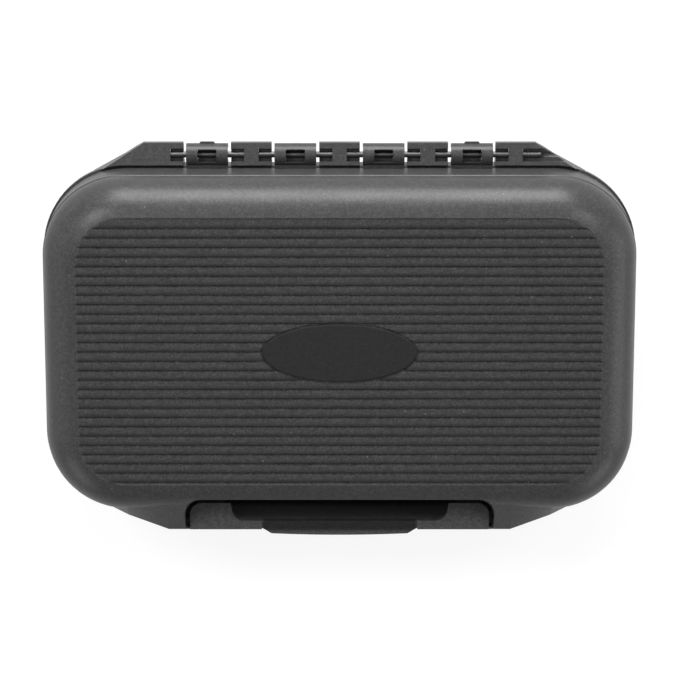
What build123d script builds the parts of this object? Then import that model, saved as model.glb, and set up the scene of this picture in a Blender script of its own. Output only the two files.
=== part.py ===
from build123d import *
import math
import os

os.makedirs("parts", exist_ok=True)

# Sizes in millimetres. Z is up, Y runs from the latch to the hinge, X along the length.
# Lengths below are measured from the middle of the case until place() sets the origin.

# case halves
CASE_LENGTH = 148.5
CASE_WIDTH = 85.9
CORNER_R = 20.5
BASE_DEPTH = 21.5
LID_DEPTH = 21.3
SEAT_GAP = 0.2
WALL = 2.2
DRAFT = 0.2
DOME_R = 11.2
DOME_LEDGE = 0.2
BASE_TAPER = 1.2

# rims, gasket groove and gasket
LIP_PROUD = 0.55
LIP_HEIGHT = 2.4
RIM_INSET = 5.7
RIM_HEIGHT = 2.6
RIM_SLOPE = 2.4
GROOVE_INSET = 2.9
GROOVE_WIDTH = 1.8
GROOVE_DEPTH = 1.7
GASKET_CLEAR = 0.1
GASKET_PROUD = 0.1

# stepped rows and oval on the lid
ROW_INSET = 8.9
ROW_PITCH = 2.4
ROW_HIGH = 0.25
ROW_SHOULDER = 0.33
ROW_LOW = 0.6
ROW_BREAK = 0.9
OVAL_LENGTH = 38.4
OVAL_WIDTH = 14.8
OVAL_MOAT = 0.45
OVAL_BEVEL = 0.3

# front bulge and latch recess
BULGE_REACH = 6.2
BULGE_FRONT = 87.4
BULGE_TURN_INSET = 4.15
BULGE_EDGE_R = 0.8
BULGE_SINK = 0.1
LID_BULGE_WRAP = 8.05
LID_BULGE_SINK = 0.2
LID_BULGE_HEIGHT = 9.3
LID_BULGE_ARCH = 1.0
BASE_BULGE_WRAP = 8.55
BASE_BULGE_SINK = 1.33
BASE_BULGE_HEIGHT = 16.0
BASE_BULGE_FALL = 3.0
RECESS_WIDTH = 78.8
RECESS_DEPTH = 1.85
RECESS_LEAN = 3.45

# latch
LATCH_SIDE_GAP = 0.25
LATCH_THICK = 2.3
LATCH_RISE = 9.5
EAR_WIDTH = 10.45
EAR_GAP = 2.0
EAR_SIDE_GAP = 1.15
EAR_THICK = 2.0
EAR_CORNER_R = 3.0
EAR_SLANT = 0.6
GUSSET_THICK = 1.2
GUSSET_DROP = 9.0
GRIP_WIDTH = 39.8
GRIP_REACH = 1.93
GRIP_CHAMFER = 2.4
GRIP_CORNER_R = 1.2
GRIP_FALL = 1.5
GRIP_EDGE = 1.35
GRIP_THICK = 1.1
GRIP_CROWN = 0.4
NOSE_LENGTH = 7.0
NOSE_R = 0.8
NOSE_OVERLAP = 0.25
NOSE_GAP = 0.15
LATCH_PIN_DROP = 12.5
LATCH_BARREL_R = 2.45
LATCH_PIN_SEAT = 3.3

# hinge
PIN_R = 0.75
PIN_CLEAR = 0.05
PIN_REACH = 3.45
HINGE_WALL_CLEAR = 0.2
KNUCKLE_COUNT = 4
KNUCKLE_WIDTH = 10.46
KNUCKLE_R = 2.88
KNUCKLE_SIDE_GAP = 0.77
KNUCKLE_ROUND_CLEAR = 0.2
BLOCK_WIDTH = 10.2
BLOCK_TOP = 1.7
BLOCK_EDGE = 0.7
BLOCK_BEVEL = 1.3
BLOCK_LEAN = 0.5
LID_SIDE_CLEAR = 0.25
FLANGE_END = 10.0
FLANGE_SLOPE_RUN = 13.4
FLANGE_ROOT_INSET = 2.05
FLANGE_DROP = 6.5
WINDOW_WIDTH = 3.3
WINDOW_FLOOR = 0.3
KNUCKLE_WINDOW = 4.8
BLOCK_WINDOW = 3.3
PIN_ENTRY = 6.7
PIN_TAIL = 1.4
PIN_SEAT = 5.3
PIN_END_CLEAR = 0.4
ARM_THICK = 1.2
NIB_WIDTH = 3.8
NIB_PROUD = 0.42
NIB_CLEAR = 0.25

# foam inserts
SHEET_THICK = 3.0
SHEET_CLEAR = 0.5
STRIP_COUNT = 6
STRIP_WIDTH = 7.5
STRIP_HEIGHT = 7.0
STRIP_END_SPACE = 2.5
STRIP_SIDE_SPACE = 3.0

# values that follow from the sizes above
HALF_X = CASE_LENGTH / 2
HALF_Y = CASE_WIDTH / 2
LID_Z = BASE_DEPTH + SEAT_GAP
TOP_Z = LID_Z + LID_DEPTH
FLAT_X = HALF_X - DOME_R
FLAT_Y = HALF_Y - DOME_R
FLAT_R = CORNER_R - DOME_R
ROWS_Y = HALF_Y - ROW_INSET
ROWS_X = HALF_X - ROW_INSET
ROWS_R = CORNER_R - ROW_INSET
FRONT_Y = -HALF_Y - BULGE_REACH
RECESS_Y = -HALF_Y + RECESS_DEPTH
RECESS_X = RECESS_WIDTH / 2
LATCH_X = RECESS_X - LATCH_SIDE_GAP
EAR_X = RECESS_X - EAR_SIDE_GAP
LATCH_TOP_Z = BASE_DEPTH + LATCH_RISE
LATCH_PIN_Y = FRONT_Y + LATCH_BARREL_R
LATCH_PIN_Z = BASE_DEPTH - LATCH_PIN_DROP
EAR_Y = RECESS_Y - EAR_GAP
GRIP_Y = FRONT_Y - GRIP_REACH
PIN_BORE_R = PIN_R + PIN_CLEAR
PIN_Y = HALF_Y + PIN_REACH
PIN_Z = BASE_DEPTH
WALL_Y = HALF_Y + DRAFT
SWING_R = PIN_Y - WALL_Y
FLANGE_Y = PIN_Y + SWING_R - HINGE_WALL_CLEAR
KNUCKLE_PITCH = KNUCKLE_WIDTH + 2 * KNUCKLE_SIDE_GAP + BLOCK_WIDTH
KNUCKLES = [(i - (KNUCKLE_COUNT - 1) / 2) * KNUCKLE_PITCH for i in range(KNUCKLE_COUNT)]
SLOT_HALF = KNUCKLE_WIDTH / 2 + KNUCKLE_SIDE_GAP
FLANGE_X = KNUCKLES[-1] + SLOT_HALF + FLANGE_END
ENTRY_X = KNUCKLES[-1] + SLOT_HALF + PIN_ENTRY
PIN_END_X = KNUCKLES[-1] + SLOT_HALF + PIN_SEAT
LATCH_PIN_X = RECESS_X + LATCH_PIN_SEAT
NOSE_SET = (EAR_GAP + NOSE_OVERLAP) / 2 - NOSE_R
NOSE_Z = LATCH_TOP_Z - EAR_THICK / 2
NOSE_STEP = math.sqrt((2 * NOSE_R + NOSE_GAP) ** 2 - (EAR_GAP - 2 * NOSE_SET) ** 2)
SHEET_X = FLAT_X - SHEET_CLEAR
SHEET_Y = FLAT_Y - SHEET_CLEAR
REAR_Y = max(FLANGE_Y, PIN_Y + KNUCKLE_R + NIB_PROUD)
ORIGIN_SHIFT = -(GRIP_Y + REAR_Y) / 2
FAR = 200.0


def flat(points):
    """A face in the section plane: first number outward or along Y, second up."""
    return Plane.XZ * make_face(Polyline(*points, close=True))


def ring_turn(section, half_x, half_y, radius, filled=True):
    """A rounded rectangle whose edge follows the section all round, filled or open."""
    cx, cy = half_x - radius, half_y - radius
    solid = Pos(cx, -cy, 0) * extrude(section, 2 * cy, dir=(0, 1, 0))
    solid += Rot(0, 0, 180) * (Pos(cx, -cy, 0) * extrude(section, 2 * cy, dir=(0, 1, 0)))
    solid += Rot(0, 0, 90) * (Pos(cy, -cx, 0) * extrude(section, 2 * cx, dir=(0, 1, 0)))
    solid += Rot(0, 0, 270) * (Pos(cy, -cx, 0) * extrude(section, 2 * cx, dir=(0, 1, 0)))
    turned = revolve(section, Axis.Z, 90)
    for angle, x, y in ((0, cx, cy), (90, -cx, cy), (180, -cx, -cy), (270, cx, -cy)):
        solid += Pos(x, y, 0) * (Rot(0, 0, angle) * turned)
    if not filled:
        return solid
    box = section.bounding_box()
    core = Box(2 * cx, 2 * cy, box.size.Z, align=(Align.CENTER, Align.CENTER, Align.MIN))
    return solid + Pos(0, 0, box.min.Z) * core


def prism(half_x, half_y, radius, low, high, flare=0.0):
    """A rounded rectangular block from one height to another, flaring outward."""
    points = [(0, low), (radius, low), (radius + flare, high), (0, high)]
    return ring_turn(flat(points), half_x, half_y, radius)


def block(x, y, z):
    """A box between two limits on each axis."""
    size = (x[1] - x[0], y[1] - y[0], z[1] - z[0])
    low = (Align.MIN, Align.MIN, Align.MIN)
    return Pos(x[0], y[0], z[0]) * Box(*size, align=low)


def rod(radius, ends, y, z):
    """A cylinder along X between two ends."""
    turned = Rot(0, 90, 0) * Cylinder(radius, ends[1] - ends[0])
    return Pos((ends[0] + ends[1]) / 2, y, z) * turned


def along_x(points, half, edge_r=0.0):
    """A Y-Z outline swept to both sides of the middle, its convex front corner rounded."""
    outline = make_face(Polyline(*points, close=True))
    if edge_r:
        front = outline.vertices().sort_by(Axis.X)[0:2]
        corner = front.sort_by(Axis.Y)[-1]
        outline = fillet(corner, edge_r)
    return extrude(Plane.YZ * outline, half, both=True)


def outer_half(depth, taper, ledge):
    """The outside of a case half, open face at zero, dome upward."""
    dome_r = DOME_R - taper - ledge
    wall_r = CORNER_R - taper
    edge = depth - DOME_R + taper
    points = [(0, depth), (0, 0), (CORNER_R + DRAFT, 0), (wall_r, edge)]
    if ledge:
        points.append((wall_r - ledge, edge + ledge))
    dome = CenterArc((FLAT_R, depth - dome_r), dome_r, 0, 90)
    face = make_face([Polyline(*points), dome, Line((FLAT_R, depth), (0, depth))])
    return ring_turn(Plane.XZ * face, HALF_X, HALF_Y, CORNER_R)


def inner_half(depth, taper):
    """The hollow of a case half, with its narrower rim at the open face."""
    dome_r = DOME_R - taper
    edge = depth - dome_r
    rim_r = CORNER_R - RIM_INSET
    slope_end = RIM_HEIGHT + RIM_SLOPE
    lean = (DRAFT + taper) * slope_end / edge
    points = [(0, -1), (rim_r, -1), (rim_r, RIM_HEIGHT), (CORNER_R + DRAFT - lean - WALL, slope_end)]
    for angle in (0, 45, 90):
        turn = math.radians(angle)
        run, rise = (dome_r - WALL) * math.cos(turn), (dome_r - WALL) * math.sin(turn)
        points.append((FLAT_R + run, edge + rise))
    points.append((0, depth - WALL))
    return ring_turn(flat(points), HALF_X, HALF_Y, CORNER_R)


def recess_outline(depth, lean, inset):
    """The latch recess in side view, from its back wall out past the front."""
    wall = RECESS_Y + inset
    return [
        (wall, -1),
        (wall, depth - DOME_R),
        (wall + lean, depth),
        (wall + lean, depth + 1),
        (FRONT_Y - FAR, depth + 1),
        (FRONT_Y - FAR, -1),
    ]


def dome_touch(y, height, depth, radius):
    """Where a slope from the bulge's edge meets the dome, just under its skin."""
    run, rise = -FLAT_Y - y, depth - radius - height
    reach, touch = math.hypot(run, rise), radius - BULGE_SINK
    slope = math.atan2(rise, run) + math.asin(touch / reach)
    length = math.sqrt(reach**2 - touch**2)
    return (y + length * math.cos(slope), height + length * math.sin(slope))


def bulge(depth, radius, wrap, sink, heights):
    """The front bulge, sloped up to the dome, through sections along its length."""
    turn_x, turn_r = HALF_X - CORNER_R, CORNER_R - DOME_R + radius
    back = turn_r - math.sqrt(turn_r**2 - wrap**2)
    end_y = -HALF_Y + CORNER_R - math.sqrt(CORNER_R**2 - wrap**2) + sink
    places = [(BULGE_FRONT / 2, FRONT_Y, 0), (turn_x, FRONT_Y + BULGE_TURN_INSET, 0)]
    places.append((turn_x + wrap, end_y, back))
    sections = []
    for (x, y, shift), height in zip(places, heights):
        knee = dome_touch(y - shift, height, depth, radius)
        knee = (knee[0] + shift, knee[1])
        points = [(-FLAT_Y, 0), (y, 0), (y, height), knee, (-FLAT_Y, knee[1])]
        outline = make_face(Polyline(*points, close=True))
        front = outline.vertices().sort_by(Axis.X)[0:2]
        outline = fillet(front.sort_by(Axis.Y)[-1], BULGE_EDGE_R)
        sections = [Pos(-x, 0, 0) * (Plane.YZ * outline), *sections, Pos(x, 0, 0) * (Plane.YZ * outline)]
    return loft(sections, ruled=True)


def half_case(depth, taper, ledge, swell, lean):
    """One case half with its bulge, latch recess and hollow, open face at zero."""
    outer = outer_half(depth, taper, ledge)
    backing = outer & along_x(recess_outline(depth, lean, WALL), RECESS_X + WALL)
    solid = outer + swell - inner_half(depth, taper) + backing
    return solid - along_x(recess_outline(depth, lean, 0), RECESS_X)


def oval(growth, low, high):
    """An oval block in the middle of the lid, grown by a margin."""
    face = Ellipse(OVAL_LENGTH / 2 + growth, OVAL_WIDTH / 2 + growth)
    return Pos(0, 0, low) * extrude(face, high - low)


def rows_cut():
    """The space above the rows: each row climbs towards the latch and then drops."""
    count = math.ceil(2 * ROWS_Y / ROW_PITCH)
    points = [(ROWS_Y, TOP_Z + 1)]
    for i in range(count):
        back = ROWS_Y - i * ROW_PITCH
        points.append((back, TOP_Z - ROW_LOW))
        points.append((back - ROW_BREAK, TOP_Z - ROW_SHOULDER))
        points.append((back - ROW_PITCH, TOP_Z - ROW_HIGH))
    points.append((ROWS_Y - count * ROW_PITCH, TOP_Z + 1))
    return along_x(points, HALF_X) & prism(ROWS_X, ROWS_Y, ROWS_R, LID_Z, TOP_Z + 1)


def row_panel(lid):
    """Cuts the rows into the top of the lid round the bare oval."""
    low, high = TOP_Z - ROW_LOW, TOP_Z - ROW_HIGH
    moat = oval(OVAL_MOAT, low, TOP_Z + 1)
    island = oval(0, low - WALL / 2, high)
    island = chamfer(island.edges().group_by(Axis.Z)[-1], OVAL_BEVEL)
    return lid - (rows_cut() + moat) + island


def base_flange():
    """The hinge flange behind the base, with its slots, windows and pin bore."""
    root = FLANGE_X + FLANGE_SLOPE_RUN
    plan = make_face(
        Polyline(
            (-root, 0),
            (-root, HALF_Y - FLANGE_ROOT_INSET),
            (-FLANGE_X, FLANGE_Y),
            (FLANGE_X, FLANGE_Y),
            (root, HALF_Y - FLANGE_ROOT_INSET),
            (root, 0),
            close=True,
        )
    )
    under = PIN_Z - SWING_R
    side = [
        (0, PIN_Z + BLOCK_TOP),
        (WALL_Y + LID_SIDE_CLEAR + BLOCK_LEAN, PIN_Z + BLOCK_TOP),
        (FLANGE_Y, PIN_Z + BLOCK_EDGE),
        (FLANGE_Y, PIN_Z - BLOCK_TOP),
        (FLANGE_Y - BLOCK_BEVEL, under),
        (PIN_Y, under),
        (HALF_Y - WALL, under - FLANGE_DROP),
        (0, under - FLANGE_DROP),
    ]
    flange = extrude(plan, TOP_Z) & along_x(side, root)
    flange -= prism(HALF_X - WALL, HALF_Y - WALL, CORNER_R - WALL, 0, TOP_Z)
    grow = DRAFT + LID_SIDE_CLEAR
    sizes = (HALF_X + grow, HALF_Y + grow, CORNER_R + grow)
    flange -= prism(*sizes, BASE_DEPTH, BASE_DEPTH + BLOCK_TOP, BLOCK_LEAN)
    for x in KNUCKLES:
        flange -= knuckle_room(x)
    for x in block_middles():
        flange -= block_cores(x)
    flange -= block((ENTRY_X, root), window_y(), (PIN_Z - WINDOW_FLOOR, TOP_Z))
    ends = (-PIN_END_X - PIN_END_CLEAR, FAR)
    return flange - rod(PIN_BORE_R, ends, PIN_Y, PIN_Z)


def block_middles():
    """The middle of each base block, the end ones set by their first window."""
    last = KNUCKLES[-1] + SLOT_HALF + BLOCK_WIDTH / 2
    between = [x + KNUCKLE_PITCH / 2 for x in KNUCKLES[:-1]]
    return [-last, *between, last]


def window_y():
    """The window's limits across the pin."""
    return (PIN_Y - WINDOW_WIDTH / 2, PIN_Y + WINDOW_WIDTH / 2)


def block_cores(x):
    """Top windows beside the slots and a pocket below, around one base block."""
    half = BLOCK_WIDTH / 2
    solid = half - BLOCK_WINDOW
    up = (PIN_Z - WINDOW_FLOOR, TOP_Z)
    cores = block((x - solid, x + solid), window_y(), (0, PIN_Z + WINDOW_FLOOR))
    if x > -KNUCKLES[-1]:
        cores += block((x - half - 1, x - solid), window_y(), up)
    if x < KNUCKLES[-1]:
        cores += block((x + solid, x + half + 1), window_y(), up)
    return cores


def knuckle_room(x):
    """The slot in the flange that a lid knuckle turns in."""
    ends = (x - SLOT_HALF, x + SLOT_HALF)
    back = WALL_Y + LID_SIDE_CLEAR
    room = block(ends, (back, FAR), (PIN_Z - SWING_R - FLANGE_DROP - 1, TOP_Z))
    room += rod(KNUCKLE_R + KNUCKLE_ROUND_CLEAR, ends, PIN_Y, PIN_Z)
    if abs(x) == KNUCKLES[-1]:
        half = NIB_WIDTH / 2 + NIB_CLEAR
        reach = KNUCKLE_R + NIB_PROUD + NIB_CLEAR
        room += rod(reach, (x - half, x + half), PIN_Y, PIN_Z)
    return room


def lid_knuckle(x):
    """One lid knuckle with its arm to the lid wall, cored from both sides."""
    half = KNUCKLE_WIDTH / 2
    ends = (x - half, x + half)
    knuckle = rod(KNUCKLE_R, ends, PIN_Y, PIN_Z)
    knuckle += block(ends, (WALL_Y - WALL / 2, PIN_Y), (LID_Z, LID_Z + ARM_THICK))
    if abs(x) == KNUCKLES[-1]:
        nib = block(
            (x - NIB_WIDTH / 2, x + NIB_WIDTH / 2),
            (PIN_Y, PIN_Y + KNUCKLE_R + NIB_PROUD),
            (PIN_Z - NIB_PROUD, PIN_Z + NIB_PROUD),
        )
        knuckle += fillet(nib.edges().filter_by(Axis.Z).sort_by(Axis.Y)[2:], NIB_PROUD)
    middle = KNUCKLE_WINDOW / 2
    top = (PIN_Z - WINDOW_FLOOR, TOP_Z)
    low = (0, PIN_Z + WINDOW_FLOOR)
    knuckle -= block((x - middle, x + middle), window_y(), top)
    knuckle -= block((x - half, x - middle), window_y(), low)
    knuckle -= block((x + middle, x + half), window_y(), low)
    return knuckle - rod(PIN_BORE_R, ends, PIN_Y, PIN_Z)


def groove_ring(clear, low, high):
    """A ring that follows the rim groove, narrower by a clearance on each side."""
    outer = CORNER_R - GROOVE_INSET - clear
    inner = CORNER_R - GROOVE_INSET - GROOVE_WIDTH + clear
    face = flat([(inner, low), (outer, low), (outer, high), (inner, high)])
    return ring_turn(face, HALF_X, HALF_Y, CORNER_R, filled=False)


def base_shell():
    """The base with its rim groove, hinge flange and latch pin bores."""
    grow = DRAFT + LIP_PROUD
    lip = prism(HALF_X + grow, HALF_Y + grow, CORNER_R + grow, 0, LIP_HEIGHT)
    lip -= prism(HALF_X - WALL, HALF_Y - WALL, CORNER_R - WALL, -1, LIP_HEIGHT + 1)
    lip -= along_x(recess_outline(BASE_DEPTH, 0, 0), RECESS_X)
    heights = [BASE_BULGE_HEIGHT - i * BASE_BULGE_FALL for i in range(3)]
    dome_r = DOME_R - BASE_TAPER
    swell = bulge(BASE_DEPTH, dome_r, BASE_BULGE_WRAP, BASE_BULGE_SINK, heights)
    half = half_case(BASE_DEPTH, BASE_TAPER, 0, swell, 0)
    base = Pos(0, 0, BASE_DEPTH) * mirror(half + lip, Plane.XY)
    base += base_flange()
    for x in KNUCKLES:
        base -= knuckle_room(x)
    base -= groove_ring(0, BASE_DEPTH - GROOVE_DEPTH, BASE_DEPTH + 1)
    ends = (-LATCH_PIN_X - PIN_END_CLEAR, HALF_X - CORNER_R + BASE_BULGE_WRAP)
    return base - rod(PIN_BORE_R, ends, LATCH_PIN_Y, LATCH_PIN_Z)


def lid_shell():
    """The lid with its ribbed panel, knuckles and snap beads."""
    heights = (LID_BULGE_HEIGHT, LID_BULGE_HEIGHT + LID_BULGE_ARCH, LID_BULGE_HEIGHT)
    dome_r = DOME_R - DOME_LEDGE
    swell = bulge(LID_DEPTH, dome_r, LID_BULGE_WRAP, LID_BULGE_SINK, heights)
    half = half_case(LID_DEPTH, 0, DOME_LEDGE, swell, RECESS_LEAN)
    lid = row_panel(Pos(0, 0, LID_Z) * half)
    for x in KNUCKLES:
        lid += lid_knuckle(x)
    return lid + snap_rolls(RECESS_Y - NOSE_SET, NOSE_Z - NOSE_STEP)


def snap_rolls(y, z):
    """A short round bead on each side of the latch recess."""
    middle = EAR_X - EAR_WIDTH / 2
    half = NOSE_LENGTH / 2
    right = rod(NOSE_R, (middle - half, middle + half), y, z)
    left = rod(NOSE_R, (-middle - half, -middle + half), y, z)
    return right + left


def gasket():
    """The sealing ring that sits in the base's rim groove."""
    top = BASE_DEPTH + GASKET_PROUD
    return groove_ring(GASKET_CLEAR, BASE_DEPTH - GROOVE_DEPTH, top)


def latch_top():
    """The latch's upper edge with its two ears, in plan."""
    back = FRONT_Y + LATCH_THICK
    ear = EAR_X - EAR_WIDTH
    half = [(ear - EAR_SLANT, back), (ear, EAR_Y), (EAR_X, EAR_Y), (EAR_X, FRONT_Y)]
    other = [(-x, y) for x, y in reversed(half)]
    face = make_face(Polyline(*half, *other, close=True))
    backs = face.vertices().filter_by(lambda v: abs(v.Y - EAR_Y) < 0.01)
    outer = backs.filter_by(lambda v: abs(v.X) > EAR_X - 0.01)
    inner = face.vertices().filter_by(lambda v: abs(v.Y - back) < 0.01)
    return fillet([*outer, *inner], EAR_CORNER_R)


def grip_slope():
    """The top of the finger grip in side view, from the plate's back edge to its lip."""
    lip = LATCH_TOP_Z - GRIP_FALL
    return [(FRONT_Y + LATCH_THICK, LATCH_TOP_Z), (GRIP_Y + GRIP_EDGE, lip), (GRIP_Y, lip)]


def grip():
    """The finger grip that stands out from the middle of the latch."""
    half = GRIP_WIDTH / 2
    foot = FRONT_Y + LATCH_THICK
    tip = (half - GRIP_CHAMFER, GRIP_Y + GRIP_CROWN)
    side = [tip, (half, FRONT_Y), (half, foot)]
    other = [(-x, y) for x, y in reversed(side)]
    front = ThreePointArc(other[-1], (0, GRIP_Y), tip)
    face = make_face([Polyline(*side, *other), front])
    face = fillet(face.vertices().sort_by(Axis.Y)[0:2], GRIP_CORNER_R)
    plan = Pos(0, 0, LATCH_PIN_Z) * extrude(face, LATCH_RISE + LATCH_PIN_DROP)
    lip = LATCH_TOP_Z - GRIP_FALL - GRIP_THICK
    return plan & along_x([*grip_slope(), (GRIP_Y, lip), (foot, lip - GRIP_REACH)], half)


def latch():
    """The latch plate with its barrel, ears, gussets, finger grip and noses."""
    plate_y = (FRONT_Y, FRONT_Y + LATCH_THICK)
    under = LATCH_TOP_Z - EAR_THICK
    body = block((-LATCH_X, LATCH_X), plate_y, (LATCH_PIN_Z, under))
    body += Pos(0, 0, under) * extrude(latch_top(), EAR_THICK)
    body += rod(LATCH_BARREL_R, (-LATCH_X, LATCH_X), LATCH_PIN_Y, LATCH_PIN_Z)
    foot = FRONT_Y + LATCH_THICK / 2
    side = [(foot, under), (EAR_Y - EAR_CORNER_R, under), (foot, under - GUSSET_DROP)]
    gusset = along_x(side, GUSSET_THICK / 2)
    for x in (EAR_X - GUSSET_THICK / 2, EAR_X - EAR_WIDTH + GUSSET_THICK / 2):
        body += Pos(x, 0, 0) * gusset
        body += Pos(-x, 0, 0) * gusset
    body -= along_x([*grip_slope(), (GRIP_Y, LATCH_TOP_Z + 1)], GRIP_WIDTH / 2)
    body += grip()
    body += snap_rolls(EAR_Y + NOSE_SET, NOSE_Z)
    return body - rod(PIN_BORE_R, (-LATCH_X, LATCH_X), LATCH_PIN_Y, LATCH_PIN_Z)


def hinge_pin():
    """The long steel pin that the lid turns on."""
    return rod(PIN_R, (-PIN_END_X, FLANGE_X + PIN_TAIL), PIN_Y, PIN_Z)


def latch_pin():
    """The steel pin that the latch turns on."""
    return rod(PIN_R, (-LATCH_PIN_X, LATCH_PIN_X), LATCH_PIN_Y, LATCH_PIN_Z)


def foam_sheet(low):
    """The backing sheet that the foam strips are bonded to."""
    face = RectangleRounded(2 * SHEET_X, 2 * SHEET_Y, FLAT_R - SHEET_CLEAR)
    return Pos(0, 0, low) * extrude(face, SHEET_THICK)


def foam_strip(index, low):
    """One foam strip, counted from the latch side."""
    half = SHEET_X - STRIP_END_SPACE
    first = -SHEET_Y + STRIP_SIDE_SPACE
    pitch = (-2 * first - STRIP_WIDTH) / (STRIP_COUNT - 1)
    y = first + index * pitch
    return block((-half, half), (y, y + STRIP_WIDTH), (low, low + STRIP_HEIGHT))


def foam_pieces():
    """Each foam piece by name: a sheet and its strips in the base and in the lid."""
    low = WALL
    high = TOP_Z - WALL - SHEET_THICK
    pieces = {"base_foam_sheet": foam_sheet(low), "lid_foam_sheet": foam_sheet(high)}
    for i in range(STRIP_COUNT):
        pieces[f"base_foam_strip_{i + 1}"] = foam_strip(i, low + SHEET_THICK)
        pieces[f"lid_foam_strip_{i + 1}"] = foam_strip(i, high - STRIP_HEIGHT)
    return pieces


def place(name, solid):
    """Moves a piece so that the origin is under the middle, and writes it."""
    export_step(Pos(0, ORIGIN_SHIFT, 0) * solid, f"parts/{name}.step")


def main():
    """Builds every piece and writes one file for each."""
    place("base_shell", base_shell())
    place("lid_shell", lid_shell())
    place("gasket", gasket())
    place("hinge_pin", hinge_pin())
    place("latch", latch())
    place("latch_pin", latch_pin())
    for name, solid in foam_pieces().items():
        place(name, solid)


main()
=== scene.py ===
import functools
import logging
import math
from dataclasses import dataclass, field
from enum import Enum

import bmesh
import bpy
from mathutils import Matrix, Vector


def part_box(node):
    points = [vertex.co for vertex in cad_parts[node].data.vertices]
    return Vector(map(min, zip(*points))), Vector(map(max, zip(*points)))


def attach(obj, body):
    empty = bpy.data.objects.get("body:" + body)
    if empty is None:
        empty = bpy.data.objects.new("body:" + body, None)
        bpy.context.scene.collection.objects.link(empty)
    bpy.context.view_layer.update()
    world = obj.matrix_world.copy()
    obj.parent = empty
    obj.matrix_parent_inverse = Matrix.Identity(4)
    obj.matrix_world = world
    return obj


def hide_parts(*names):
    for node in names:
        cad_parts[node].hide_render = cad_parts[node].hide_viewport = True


LOG = logging.getLogger("fly_box")
MM = 0.001

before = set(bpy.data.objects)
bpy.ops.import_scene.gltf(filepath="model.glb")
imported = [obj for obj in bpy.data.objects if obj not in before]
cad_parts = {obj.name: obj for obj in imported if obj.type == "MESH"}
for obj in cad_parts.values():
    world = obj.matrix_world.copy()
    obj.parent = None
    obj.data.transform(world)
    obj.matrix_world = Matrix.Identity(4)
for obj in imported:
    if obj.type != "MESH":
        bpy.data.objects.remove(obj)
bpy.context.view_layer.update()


class Half(Enum):
    """The two halves of the case, by the CAD body that each rides on."""

    BASE = "base"
    LID = "lid"


class Slot(Enum):
    """The names of the record's material slots for the scene's own pieces; the script does not use them."""

    CASE = "case_plastic"
    LATCH = "latch_plastic"
    FOAM = "foam"


@functools.cache
def node_box(node: str) -> tuple[tuple[float, ...], tuple[float, ...]]:
    """Measures a CAD node once.

    Args:
        node: the node's name.

    Returns:
        Its lowest and highest corners at rest.
    """
    low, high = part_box(node)
    return tuple(low), tuple(high)


# ---------------------------------------------------------------- node groups


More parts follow.
